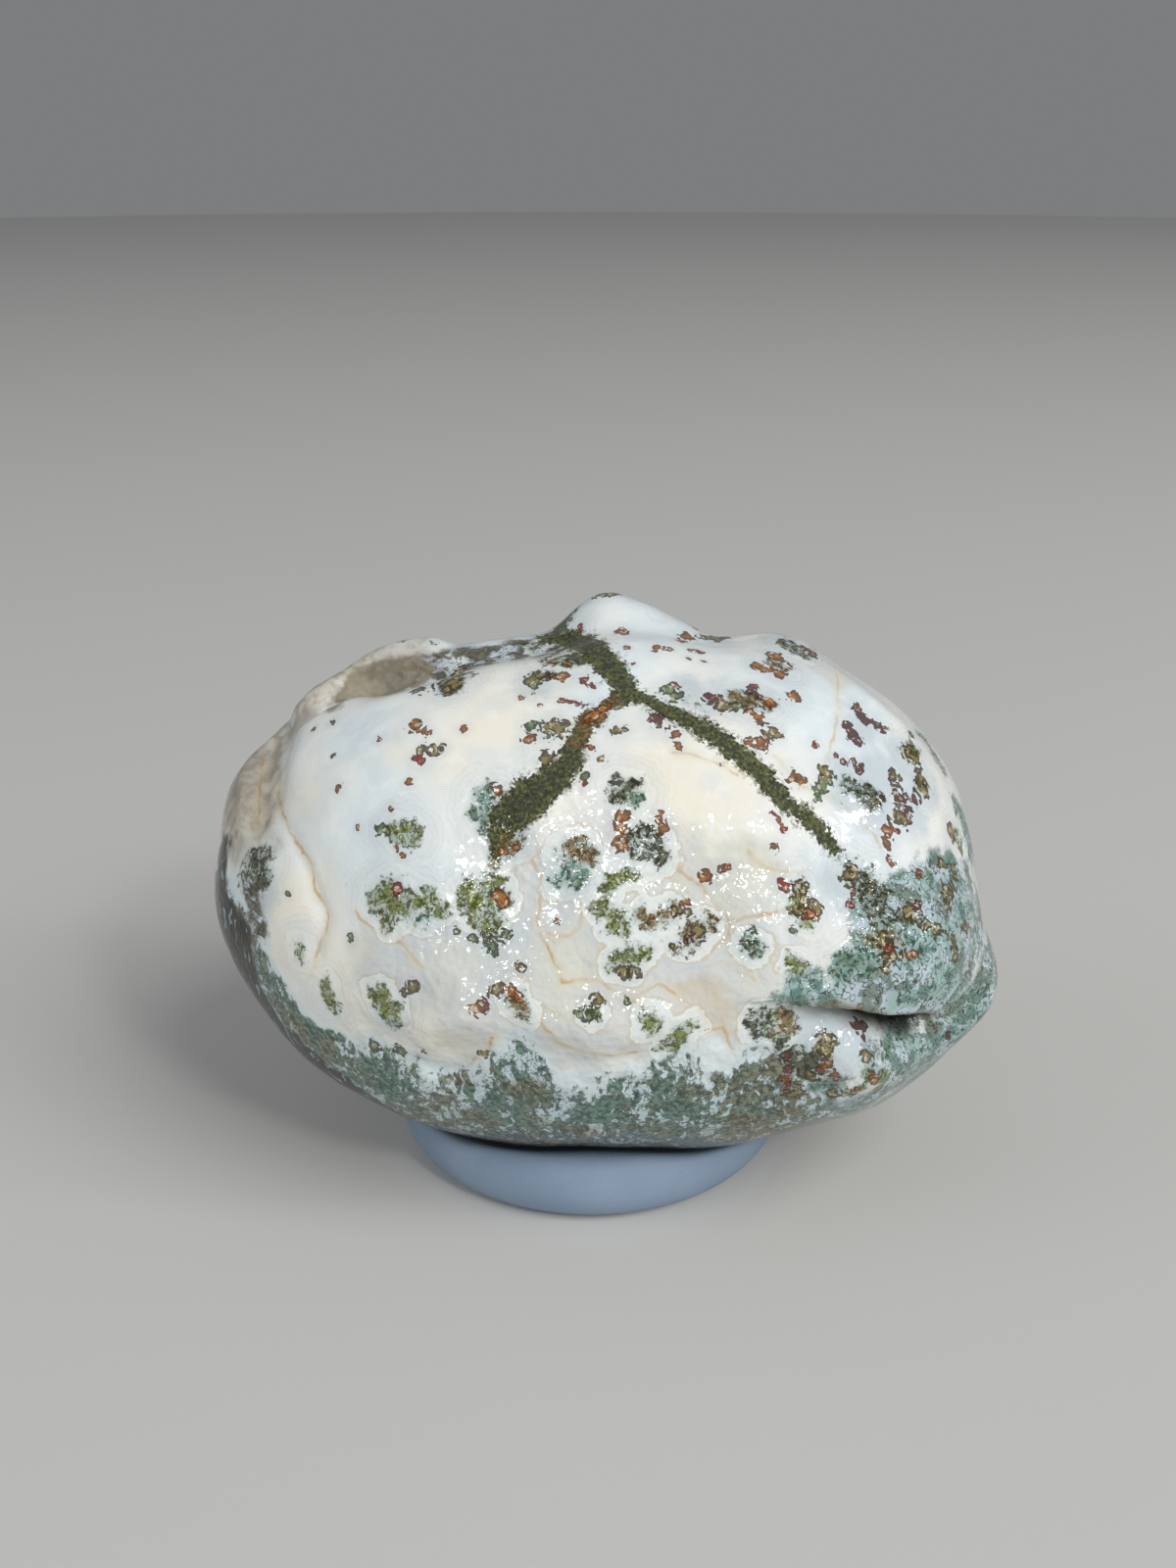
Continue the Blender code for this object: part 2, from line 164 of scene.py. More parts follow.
BROWN_MOSS = {
    0.4: [(690, 963)], 0.7: [(505, 878), (525, 1017), (686, 930), (752, 711), (745, 714)],
    0.8: [(574, 875), (530, 1026), (534, 1034), (655, 934), (706, 962), (760, 715), (800, 682)],
    0.9: [(512, 918), (509, 869), (665, 938), (675, 936), (702, 955), (712, 950), (718, 945), (782, 722),
        (790, 676), (556, 672), (595, 668), (905, 972), (803, 1098)],
    1: [(596, 873), (524, 861), (770, 718), (565, 676), (808, 1107), (812, 1117)],
    1.1: [(580, 869), (462, 700), (468, 692), (843, 1066)],
    1.2: [(589, 866), (507, 913), (899, 958), (909, 962)], 1.4: [(802, 1048)], 1.5: [(793, 1043)],
}

# The forked green vein: pixels and half the width in mm.
VEIN_TRUNK = [
    (546, 658, 0.2), (562, 652, 0.7), (583, 651, 1.2), (603, 660, 1.35), (616, 673, 1.25), (628, 688, 1.1),
    (640, 704, 1.1),
]
VEIN_RIGHT = [
    (640, 706, 1), (655, 713, 0.8), (672, 722, 0.75), (694, 731, 0.85), (716, 742, 0.9), (744, 763, 0.95),
    (769, 782, 0.9), (790, 804, 0.85), (803, 822, 0.65), (818, 830, 0.75), (834, 845, 0.7), (848, 862, 0.6),
    (856, 870, 0.3),
]
VEIN_LEFT = [
    (640, 708, 0.9), (625, 718, 0.7), (608, 729, 0.75), (597, 741, 0.75), (590, 757, 0.85), (583, 776, 1.1),
    (567, 793, 1.35), (548, 808, 1.6), (532, 820, 1.8), (519, 834, 1.6), (512, 848, 1.2), (508, 862, 0.7),
    (506, 876, 0.2),
]
# It goes on over the top to this place, in mm, and down the far side: azimuth in degrees and height in mm.
VEIN_TOP_END = (1.4, 11.5)
VEIN_BEHIND = [(180, 41), (177, 37), (171, 33), (166, 30), (165, 26)]
VEIN_BEHIND_HALF = 0.8

# Tan seams and paler ones, as pixels.
SEAMS = [
    [(682, 878), (694, 890), (707, 897), (716, 905), (723, 915), (734, 928), (745, 940), (742, 955),
     (731, 966), (719, 974)],
    [(745, 940), (761, 936), (780, 933), (799, 930), (812, 926)],
    [(543, 876), (553, 896), (553, 915), (549, 932), (549, 949), (560, 968), (568, 985), (576, 1002),
     (594, 1000), (609, 999), (623, 1008), (644, 1019), (656, 1029)],
    [(644, 1019), (660, 1011), (673, 1002), (684, 1011), (694, 1020), (711, 1029), (719, 1039),
     (722, 1048)],
    [(722, 1048), (735, 1049), (742, 1056), (748, 1071)],
    [(549, 1041), (564, 1056), (570, 1065), (594, 1072), (625, 1077), (650, 1073)],
    [(363, 930), (372, 942), (382, 949), (396, 957), (409, 962), (420, 974), (430, 987)],
    [(476, 1091), (485, 1080), (497, 1072), (503, 1059)],
    [(268, 775), (266, 800), (264, 830), (259, 862)],
    [(280, 757), (281, 778), (284, 812), (292, 837), (301, 858), (312, 872), (319, 883), (320, 906),
     (333, 925), (335, 945), (322, 973), (320, 996)],
    [(549, 949), (563, 955), (578, 957), (590, 948), (594, 935), (590, 920), (577, 910)],
]
PALE_SEAMS = [
    [(854, 688), (855, 710), (855, 729), (850, 752), (844, 775), (838, 790)],
    [(791, 772), (804, 787), (816, 800), (830, 807), (841, 811), (853, 815), (873, 833), (890, 850),
     (898, 864)],
    [(686, 769), (700, 769), (715, 772), (738, 781), (752, 790)],
    [(765, 870), (775, 880), (790, 888), (806, 890), (824, 888)],
    [(556, 1028), (575, 1037), (596, 1046), (620, 1050), (640, 1046)],
    [(722, 985), (738, 982), (752, 985), (770, 1000)],
    [(640, 905), (654, 893), (672, 892), (690, 900), (702, 912)],
]
# Pale seams of the far side: azimuth in degrees, height in mm.
SEAMS_BEHIND = [
    [(95, 34), (106, 30), (118, 31), (130, 27), (141, 30), (150, 27)],
    [(196, 30), (206, 34), (219, 31), (231, 35), (243, 31)],
    [(141, 30), (146, 37), (155, 42)],
    [(168, 22), (180, 26), (192, 24), (206, 28)],
]

# Where moss covers the lower part of the stone: pixels along its upper edge, and for the far side azimuth in
# degrees (0 is the side the camera sees, 90 the right) and height in mm.
BASE_EDGE = [
    (240, 895), (250, 925), (262, 950), (285, 985), (300, 1020), (330, 1050), (360, 1058), (395, 1072),
    (420, 1090), (460, 1102), (490, 1098), (515, 1068), (530, 1052), (546, 1060), (558, 1082), (570, 1105),
    (600, 1112), (620, 1098), (650, 1090), (672, 1078), (690, 1062), (700, 1060), (720, 1088), (745, 1096),
    (760, 1082), (775, 1080), (790, 1085),
]
BASE_EDGE_BEHIND = [
    (56, 11), (66, 17), (80, 20), (95, 18), (108, 21), (120, 17), (132, 21), (142, 16), (155, 13.5),
    (166, 18), (178, 22.5), (188, 17.5), (200, 13), (212, 16), (224, 21), (236, 24), (248, 25), (258, 27),
    (266, 27),
]

# Soft-edged places: (pixel across, pixel down, radius in mm). Teal moss on the nose, jaw and right rim, milk
# without moss in the jaw, dark streaks down the left end, smoke-like streaks along the top, blue-grey haze
# round darker marks, rust on the vein, beige bark, tan patches, the rough hollow, shaded folds, warm milk,
# grey glassy chalcedony, and bumpy skin that breaks up the light.
PLACES = {
    "teal": [
        (936, 955, 6.2), (960, 930, 5.2), (975, 965, 5), (985, 915, 3.4), (915, 985, 4.4), (890, 1005, 2.6),
        (955, 995, 4.5), (860, 1012, 2.6), (835, 1013, 2.3), (812, 1012, 2), (885, 1016, 2.6),
        (925, 1022, 3), (955, 1018, 3.2), (904, 1020, 2.8), (985, 990, 4), (1000, 1010, 4.5),
        (1012, 990, 4), (960, 1045, 3.4), (985, 1035, 4.6), (965, 1070, 4.6), (935, 1095, 4.2),
        (922, 1058, 2.6), (940, 1070, 3), (918, 1080, 2.4), (895, 1078, 2), (890, 1096, 2.4),
        (868, 1102, 1.8), (845, 1108, 1.8), (905, 1058, 1.6), (1003, 962, 2.4), (1007, 984, 2.4),
        (1000, 945, 3.2), (993, 870, 2), (905, 1090, 1.6), (790, 1020, 1.2), (990, 840, 1.8),
        (952, 1085, 4), (925, 1105, 4), (900, 1115, 3), (872, 1124, 2.2),
    ],
    "milk": [
        (832, 1050, 1.8), (850, 1052, 2), (868, 1060, 1.8), (850, 1072, 1.6), (880, 1056, 1.2),
        (868, 1078, 1.2), (830, 1068, 1.2),
    ],
    "streak": [
        (226, 880, 2.6), (224, 905, 2.8), (228, 930, 3.2), (236, 958, 3.4), (246, 985, 3.4),
        (258, 1010, 3.4), (275, 1035, 3), (295, 1060, 3), (320, 1085, 3.2), (345, 1105, 3),
        (370, 1118, 2.5), (222, 860, 1.8),
    ],
    "smoke": [
        (436, 686, 1.9), (452, 680, 2.1), (470, 675, 2.2), (490, 673, 2.2), (510, 669, 2.1), (530, 663, 2),
        (548, 658, 1.8), (462, 697, 1.4), (560, 668, 1.5), (256, 914, 1.3), (260, 930, 1.4),
        (266, 948, 1.1),
    ],
    "haze": [
        (700, 705, 1.8), (730, 715, 1.8), (755, 715, 1.8), (780, 715, 1.6), (800, 655, 2.2),
        (820, 665, 1.8), (870, 800, 2.4), (890, 820, 2.2), (900, 790, 2.2), (925, 775, 2.4),
        (940, 800, 2.2), (930, 830, 2), (945, 755, 2), (880, 745, 1.4), (560, 745, 1.4), (545, 700, 1.6),
        (505, 830, 1.8), (520, 860, 1.8), (580, 890, 2.2), (268, 905, 1.8), (440, 935, 1.2),
        (395, 1040, 1.4), (855, 900, 1.6), (500, 1112, 2),
    ],
    "rusty": [
        (622, 718, 1.2), (608, 729, 1.6), (598, 742, 1.2), (590, 757, 1), (520, 862, 1.2), (592, 640, 0.8),
    ],
    "beige": [
        (240, 800, 5.5), (250, 840, 4.5), (262, 780, 4), (262, 860, 3), (290, 742, 1.5), (304, 726, 1.7),
        (318, 712, 1.8), (333, 700, 1.8), (350, 691, 1.7), (375, 680, 1.6), (400, 671, 1.5),
        (425, 665, 1.3), (300, 712, 2.4), (320, 695, 2.6), (350, 678, 2.6), (385, 667, 2.4), (420, 659, 2),
        (275, 745, 2.4), (258, 765, 2.6),
    ],
    "tan": [(716, 1020, 2.2), (700, 1010, 1.6), (733, 1034, 1.9), (742, 1048, 1.2), (690, 1006, 1)],
    "hollow": [
        (352, 714, 1.5), (365, 707, 1.8), (378, 700, 2.2), (391, 697, 2.4), (404, 692, 2.4),
        (417, 688, 2.2), (428, 683, 1.6), (340, 722, 0.9),
    ],
    "shade": [
        (300, 745, 1.3), (275, 790, 1.6), (270, 820, 1.4), (284, 765, 1.4), (318, 732, 1), (265, 845, 1),
        (246, 800, 2.6), (240, 822, 2), (252, 776, 2.2),
    ],
    "cream": [
        (498, 745, 4.5), (470, 775, 3.5), (515, 780, 3), (715, 820, 5.5), (690, 790, 4), (590, 1000, 4),
        (450, 1050, 4.5), (310, 900, 3), (285, 930, 5), (290, 965, 4.5), (283, 890, 4), (380, 1050, 4),
        (560, 1060, 3), (720, 855, 4), (275, 860, 4), (300, 920, 5), (318, 960, 4), (300, 830, 3),
        (330, 1000, 4),
    ],
    "glass": [
        (560, 960, 6), (640, 950, 6), (700, 965, 5), (620, 1025, 5), (520, 1000, 4.5), (450, 985, 5),
        (745, 1000, 5), (600, 905, 4), (745, 905, 3.4), (765, 890, 2.6), (470, 1060, 3), (590, 1060, 4),
        # Painted shade: the place at (860, 690) darkens the strip below the top right hump.
        (400, 990, 4), (860, 690, 2.5), (680, 1040, 4), (690, 890, 3.5),
    ],
    "bumpy": [
        (560, 850, 7), (620, 900, 8), (700, 940, 8), (780, 900, 6), (560, 1000, 8), (480, 1010, 7),
        (440, 960, 5), (640, 1020, 8), (740, 1020, 8), (930, 950, 8), (880, 1060, 8), (820, 1080, 6),
        (560, 1110, 8), (700, 1110, 8), (420, 1080, 6), (520, 930, 5),
    ],
}
# The same kinds of places on the far side: azimuth in degrees, height in mm, radius in mm.
PLACES_BEHIND = {
    "glass": [(135, 30, 6), (215, 30, 7), (165, 33, 5)],
    "cream": [(105, 36, 8), (245, 34, 8)],
    "teal": [(72, 22, 5), (84, 17, 5.5), (98, 20, 4)],
    "bumpy": [(150, 22, 8), (200, 24, 8), (95, 25, 8)],
}
# Soft clouds that are kept on the vertices: name and size in mm.
SOFT_CLOUDS = {"wide": 13.0, "broad": 6.0, "middle": 3.6, "small": 2.2}

# The fold between nose and jaw, along the lip: pixels, then its depth and its width below the lip, in mm.
MOUTH_LINE = [
    (762, 1022, 0.2, 3), (785, 1021, 0.5, 3), (805, 1023, 0.8, 3), (830, 1026, 1.4, 2.8),
    (855, 1028, 2.6, 2.5), (872, 1029, 5, 2.4), (905, 1033, 6.8, 3), (932, 1038, 5.4, 2.7),
    (948, 1038, 1.8, 2.2), (969, 1029, 1.3, 2.6), (987, 1011, 1.4, 3), (998, 995, 1.4, 3),
    (1004, 978, 1.1, 3), (1008, 962, 0.5, 3),
]
# Its soft edge, its wall, how far it is tucked in of its depth, the fade at its ends and how far it reaches.
MOUTH_EDGE = 0.05
MOUTH_WALL = 0.4
MOUTH_TUCK = 0.35
MOUTH_END_FADE = 2.5
MOUTH_REACH = 9.0
# Width in mm of the painted shade along the lip, where it overhangs the fold.
LIP_SHADE_WIDTH = 1.2
NOSE_MIDDLE = (925, 970)
# Swellings and dents of the skin: (pixel across, pixel down, reach in mm, height in mm).
SWELLINGS = [
    (940, 975, 8, 0.7), (905, 1000, 5, 0.5), (965, 1000, 5, 0.5), (872, 1066, 5.5, 0.8),
    (842, 1068, 2, 0.35), (800, 1050, 3, 0.35), (893, 1100, 2.2, 0.3), (950, 1056, 2.6, 0.35),
    (818, 1108, 2.5, 0.3), (870, 1110, 2.2, 0.3), (925, 1070, 3.2, 0.3), (560, 1005, 6, 0.4),
    (480, 1025, 5, 0.35), (650, 1010, 5, 0.3), (600, 850, 4, -0.25), (700, 930, 4.5, -0.25),
    (905, 1078, 1.6, -0.2), (858, 1090, 1.8, -0.25), (822, 1064, 1.6, -0.2),
]
# Lines where the skin is raised or pressed in: reach in mm, height in mm, pixels.
CREASES = [
    (1.7, -1.1, [(268, 765), (262, 800), (262, 840)]),
    (1, -0.25, [(280, 757), (284, 812), (301, 858), (320, 900), (333, 935), (322, 973)]),
    (2, -0.6, [(330, 716), (361, 706), (395, 697), (420, 688), (440, 676)]),
    (1.2, -0.6, [(290, 745), (318, 727), (345, 714), (375, 704), (398, 697), (426, 684)]),
    (2.6, 1, [(292, 728), (312, 704), (345, 686), (378, 672), (410, 664), (440, 661)]),
    (1.3, -0.35, [(428, 1083), (448, 1092), (468, 1096)]),
    [3.2, 0.55,
     [(440, 1046), (480, 1032), (520, 1028), (560, 1042), (600, 1053), (640, 1054), (680, 1042)]],
    (4, -0.55, [(505, 880), (560, 892), (620, 872), (690, 876), (760, 884), (830, 892), (870, 925)]),
]

# How bumpy the skin is outside its bumpy places, and the sizes and heights of its waves and bumps, in mm.
BUMPY_LEAST = 0.2
WAVE_SIZE = 5.5
WAVE_HEIGHT = 0.08
BUMP_SIZE = 3.0
BUMP_HEIGHT = 0.2
GRAIN_HEIGHT = 0.2
FINE_HEIGHT = 0.05
PIT_HEIGHT = 0.07
AGATE_ROUGHNESS = 0.05

# The kinds of marks, and how much larger than placed each kind of speck is. Those of the hidden sides are
# drawn at random, in groups: how many groups and how far apart, the share of each kind, the spread of a
# group, the marks' radii and how many a group may have.
SPECK_KINDS = [RUST_SPECKS, RED_SPECKS, MAROON_SPECKS, OLIVE_SPECKS, GREEN_SPECKS]
SPECK_GROWTH = (1.0, 0.95, 1.05, 1.22, 1.1)
SPECKS_BEHIND = dict(
    count=260, spacing=2.2, kinds=(0.36, 0.14, 0.2, 0.2, 0.1), spread=0.8, sizes=(0.4, 1.0), group=(1, 4)
)
MOSS_KINDS = [DARK_MOSS, GREEN_MOSS, TEAL_MOSS, BROWN_MOSS]
MOSS_BEHIND = dict(
    count=60, spacing=5.0, kinds=(0.25, 0.4, 0.2, 0.15), spread=1.3, sizes=(0.6, 1.3), group=(3, 10)
)
SEED = 7
# A place is hidden where its skin's slope towards the camera is less than this.
HIDDEN_BELOW = -0.05

FLOOR_RADIUS = 1.6
# Lights: name, place, size, power, colour, and whether the polish mirrors it.
LIGHTS = [
    ("key", (0.76, -0.7, 1.05), 1.0, 11.0, (1.0, 0.985, 0.96), False),
    ("front", (0.0, -1.15, 0.72), 0.2, 2.6, (1.0, 0.99, 0.97), True),
    ("right spark", (0.6, -0.95, 0.85), 0.17, 2.4, (1.0, 0.99, 0.97), True),
    ("low spark", (-0.4, -1.1, 0.12), 0.11, 0.7, (1.0, 0.99, 0.97), True),
    ("nose spark", (1.1, -0.3, 0.55), 0.15, 1.2, (1.0, 0.99, 0.97), True),
    ("left", (-1.0, -0.3, 0.7), 0.8, 1.8, (0.95, 0.98, 1.0), False),
]


def pixel_ray(across, down):
    """Direction from the camera through a pixel of the photograph."""
    ahead = Vector((0, math.cos(CAMERA_DOWN), -math.sin(CAMERA_DOWN)))
    up = Vector((0, math.sin(CAMERA_DOWN), math.cos(CAMERA_DOWN)))
    right = (across - PHOTO_MIDDLE[0]) / FOCAL_PIXELS
    upward = (PHOTO_MIDDLE[1] - down) / FOCAL_PIXELS
    return (ahead + Vector((right, 0, 0)) + up * upward).normalized()


def place_at_pixel(surface, across, down):
    """The stone's point under a pixel, in mm. A ray that just misses takes the point nearest to it."""
    ray = pixel_ray(across, down)
    hit = surface.ray_cast(CAMERA_PLACE, ray)[0]
    if hit is None:
        reach = (STONE_HEART * MM - CAMERA_PLACE).dot(ray)
        hit = surface.find_nearest(CAMERA_PLACE + ray * reach)[0]
    return np.array(hit) / MM


def place_from_side(surface, azimuth, height):
    """The stone's outer point at an azimuth and height, in mm."""
    turn = math.radians(azimuth)
    away = Vector((math.sin(turn), -math.cos(turn), 0))
    middle = Vector((STONE_HEART.x, STONE_HEART.y, height)) * MM
    hit = surface.ray_cast(middle + away * OUTSIDE, -away)[0]
    if hit is None:
        hit = surface.find_nearest(middle)[0]
    return np.array(hit) / MM


def route(surface, table):
    """The stone's points under the pixels that the rows of a table start with."""
    return np.array([place_at_pixel(surface, *row[:2]) for row in table])


def spots(surface, table):
    """Round marks on the stone, from pixels and radii."""
    return [(*place_at_pixel(surface, across, down), radius) for across, down, radius in table]


def path_from_side(surface, table):
    """Points laid closely over the stone along a line of azimuths and heights."""
    numbers = np.linspace(0, len(table) - 1, 8 * len(table))
    turns, heights = (np.interp(numbers, range(len(table)), column) for column in zip(*table))
    return np.array([place_from_side(surface, *place) for place in zip(turns, heights)])


def path_over_top(surface, start, end, count=12):
    """Points laid over the stone's top between two places across the ground."""
    above = [Vector((x, y, OUTSIDE / MM)) * MM for x, y in np.linspace(start, end, count)]
    return np.array([surface.ray_cast(place, Vector((0, 0, -1)))[0] for place in above]) / MM


def azimuth_of(points):
    """Azimuth of points round the stone's middle, in degrees from 0 to 360."""
    turn = np.arctan2(points[:, 0] - STONE_HEART.x, STONE_HEART.y - points[:, 1])
    return np.degrees(turn) % 360


def closest_marks(points, marks):
    """For each point the way to its closest mark, counted in that mark's radius, and which mark that is."""
    centres = np.array([mark[:3] for mark in marks])
    radii = np.array([mark[3] for mark in marks])
    best = np.full(len(points), FAR)
    which = np.zeros(len(points), int)
    for number, (centre, radius) in enumerate(zip(centres, radii)):
        far = np.linalg.norm(points - centre, axis=1) / radius
        closer = far < best
        best[closer] = far[closer]
        which[closer] = number
    return (points - centres[which]) / radii[which, None], best, which


def inside_marks(points, marks):
    """How deep in mm each point lies inside the round marks. It is below zero outside."""
    depth = np.full(len(points), -FAR)
    for mark in marks:
        depth = np.maximum(depth, mark[3] - np.linalg.norm(points - mark[:3], axis=1))
    return depth


def closest_on_path(points, path):
    """For each point the way from the path's closest place, its length, and how far along the path it is."""
    best = np.full(len(points), FAR)
    offset = np.zeros((len(points), 3))
    along = np.zeros(len(points))
    for number, (start, end) in enumerate(zip(path[:-1], path[1:])):
        step = end - start
        share = np.clip((points - start) @ step / max(step @ step, TINY), 0, 1)
        way = points - (start + share[:, None] * step)
        far = np.linalg.norm(way, axis=1)
        closer = far < best
        best[closer] = far[closer]
        offset[closer] = way[closer]
        along[closer] = number + share[closer]
    return offset, best, along


def keep(mesh, name, values):
    """Keeps a number or a vector for each vertex."""
    values = np.asarray(values, np.float32)
    kind, field = ("FLOAT", "value") if values.ndim == 1 else ("FLOAT_VECTOR", "vector")
    mesh.attributes.new(name, kind, "POINT").data.foreach_set(field, values.ravel())


def placed(name, data):
    """An object of the scene that shows some data."""
    thing = bpy.data.objects.new(name, data)
    bpy.context.scene.collection.objects.link(thing)
    return thing


def fine_copy(name, node):
    """A merged, quad-faced and subdivided copy of a CAD node, with its place in its mesh."""
    form = bmesh.new()
    form.from_mesh(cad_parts[node].data)
    bmesh.ops.remove_doubles(form, verts=form.verts, dist=1e-6)
    bmesh.ops.join_triangles(
        form, faces=form.faces, angle_face_threshold=math.pi, angle_shape_threshold=math.pi
    )
    mesh = bpy.data.meshes.new(name)
    form.to_mesh(mesh)
    form.free()
    piece = placed(name, mesh)
    smoother = piece.modifiers.new("fine", "SUBSURF")
    smoother.levels = FINE_LEVELS
    smoother.render_levels = FINE_LEVELS
    finished = bpy.data.meshes.new_from_object(piece.evaluated_get(bpy.context.evaluated_depsgraph_get()))
    piece.modifiers.clear()
    piece.data = finished
    finished.name = name
    finished.shade_smooth()
    return piece


def three_numbers(rows, field):
    """Three numbers for each vertex or normal of a mesh."""
    numbers = np.zeros(len(rows) * 3)
    rows.foreach_get(field, numbers)
    return numbers.reshape(-1, 3)


def places_and_surface(mesh):
    """The mesh's vertices in mm, and its surface, which rays can hit."""
    corners = [face.vertices[:] for face in mesh.polygons]
    surface = BVHTree.FromPolygons([vertex.co for vertex in mesh.vertices], corners)
    return three_numbers(mesh.vertices, "co") / MM, surface


def move_vertices(mesh, points):
    """Puts the mesh's vertices at points in mm."""
    mesh.vertices.foreach_set("co", (points * MM).astype(np.float32).ravel())
    mesh.update()


def soft_noise(points, size, shift=0.0):
    """Two octaves of soft noise at each point, about -1 to 1, with patches of a size in mm."""
    broad = [noise.noise(Vector(point)) for point in points / size + shift]
    fine = [noise.noise(Vector(point)) for point in points * 2 / size - shift]
    return np.array(broad) + 0.5 * np.array(fine)


def clumps_behind(points, normals, draw, count, spacing, kinds, spread, sizes, group):
    """Groups of marks spread over the sides that the camera doesn't see: the marks, and the kind of each."""
    towards = np.array(CAMERA_PLACE) / MM - points
    towards /= np.linalg.norm(towards, axis=1)[:, None]
    hidden = np.flatnonzero((normals * towards).sum(axis=1) < HIDDEN_BELOW)
    chosen = []
    for number in draw.permutation(hidden):
        place = points[number]
        if all(np.linalg.norm(place - other) > spacing for other in chosen):
            chosen.append(place)
        if len(chosen) == count:
            break
    marks = []
    tones = []
    for place in chosen:
        tone = draw.choice(len(kinds), p=kinds)
        for _ in range(draw.randint(*group)):
            marks.append((*(place + draw.normal(0, spread, 3)), draw.uniform(*sizes)))
            tones.append(tone)
    return marks, tones


def one_by_one(table):
    """Marks that are kept by radius, as (pixel across, pixel down, radius) each."""
    return [(*pixel, radius) for radius, pixels in table.items() for pixel in pixels]


def mark_specks_and_moss(mesh, points, surface):
    """Keeps the way to the closest speck and how deep each place lies in the moss."""
    draw = np.random.RandomState(SEED)
    normals = three_numbers(mesh.vertex_normals, "vector")
    marks, tones = clumps_behind(points, normals, draw, **SPECKS_BEHIND)
    for tone, (table, growth) in enumerate(zip(SPECK_KINDS, SPECK_GROWTH)):
        found = [(*mark[:3], mark[3] * growth) for mark in spots(surface, one_by_one(table))]
        marks += found
        tones += [tone] * len(found)
    offset, nearness, which = closest_marks(points, marks)
    keep(mesh, "speck", offset)
    keep(mesh, "speck_far", nearness)
    keep(mesh, "speck_tone", np.array(tones)[which])
    marks, tones = clumps_behind(points, normals, draw, **MOSS_BEHIND)
    for tone, table in enumerate(MOSS_KINDS):
        found = spots(surface, one_by_one(table))
        marks += found
        tones += [tone] * len(found)
    keep(mesh, "moss", np.clip(inside_marks(points, marks), -6, 4))
    keep(mesh, "moss_tone", np.array(tones)[closest_marks(points, marks)[2]])


def mark_vein(mesh, points, surface):
    """Keeps the distance from the edge of the forked vein, which goes on behind."""
    tables = (VEIN_TRUNK, VEIN_RIGHT, VEIN_LEFT)
    branches = [(route(surface, table), [row[2] for row in table]) for table in tables]
    over_top = path_over_top(surface, branches[0][0][1, :2], VEIN_TOP_END)
    behind = np.concatenate([over_top, path_from_side(surface, VEIN_BEHIND)])
    branches.append((behind, [VEIN_BEHIND_HALF] * len(behind)))
    vein = np.full(len(points), FAR)
    for path, halves in branches:
        far, along = closest_on_path(points, path)[1:]
        vein = np.minimum(vein, far - np.interp(along, np.arange(len(path)), halves))
    keep(mesh, "vein", np.clip(vein, -3, 8))


def mark_seams(mesh, points, name, paths):
    """Keeps the way from the closest of some lines, and the distance."""
    offset = np.zeros((len(points), 3))
    gap = np.full(len(points), FAR)
    for path in paths:
        way, far = closest_on_path(points, path)[:2]
        closer = far < gap
        offset[closer] = way[closer]
        gap[closer] = far[closer]
    keep(mesh, name, offset)
    keep(mesh, name + "_far", np.clip(gap, 0, 8))


def mark_base(mesh, points, surface):
    """Keeps how far each place lies below the upper edge of the base's moss."""
    edge = route(surface, BASE_EDGE)
    behind = np.array(BASE_EDGE_BEHIND)
    turns = np.append(azimuth_of(edge), behind[:, 0])
    heights = np.append(edge[:, 2], behind[:, 1])
    order = np.argsort(turns)
    limit = np.interp(azimuth_of(points), turns[order], heights[order], period=360)
    keep(mesh, "base", np.clip(limit - points[:, 2], -12, 12))


def mark_stone(mesh):
    """Places all markings and keeps them on the stone's vertices."""
    points, surface = places_and_surface(mesh)
    mark_specks_and_moss(mesh, points, surface)
    mark_vein(mesh, points, surface)
    behind = [path_from_side(surface, table) for table in SEAMS_BEHIND]
    mark_seams(mesh, points, "seam", [route(surface, table) for table in SEAMS])
    mark_seams(mesh, points, "pale_seam", [route(surface, table) for table in PALE_SEAMS] + behind)
    mark_base(mesh, points, surface)
    for name, table in PLACES.items():
        behind = [(*place_from_side(surface, *row[:2]), row[2]) for row in PLACES_BEHIND.get(name, [])]
        keep(mesh, name, np.clip(inside_marks(points, spots(surface, table) + behind), -7, 7))
    for name, size in SOFT_CLOUDS.items():
        keep(mesh, name, soft_noise(points, size, size * 7.3))


def out_of_stone(points):
    """The way out of the stone's egg shape at each point."""
    local = (points - np.array(STONE_HEART)) / np.array(EGG_HALVES) ** 2
    return local / np.linalg.norm(local, axis=1)[:, None]


def bell(distance, reach):
    """One in the middle, easing to nothing at the reach."""
    share = np.clip(distance / reach, 0, 1)
    return (1 - share * share) ** 2


def ease(value, low, high):
    """Soft step from 0 at low to 1 at high."""
    share = np.clip((value - low) / (high - low), 0, 1)
    return share * share * (3 - 2 * share)


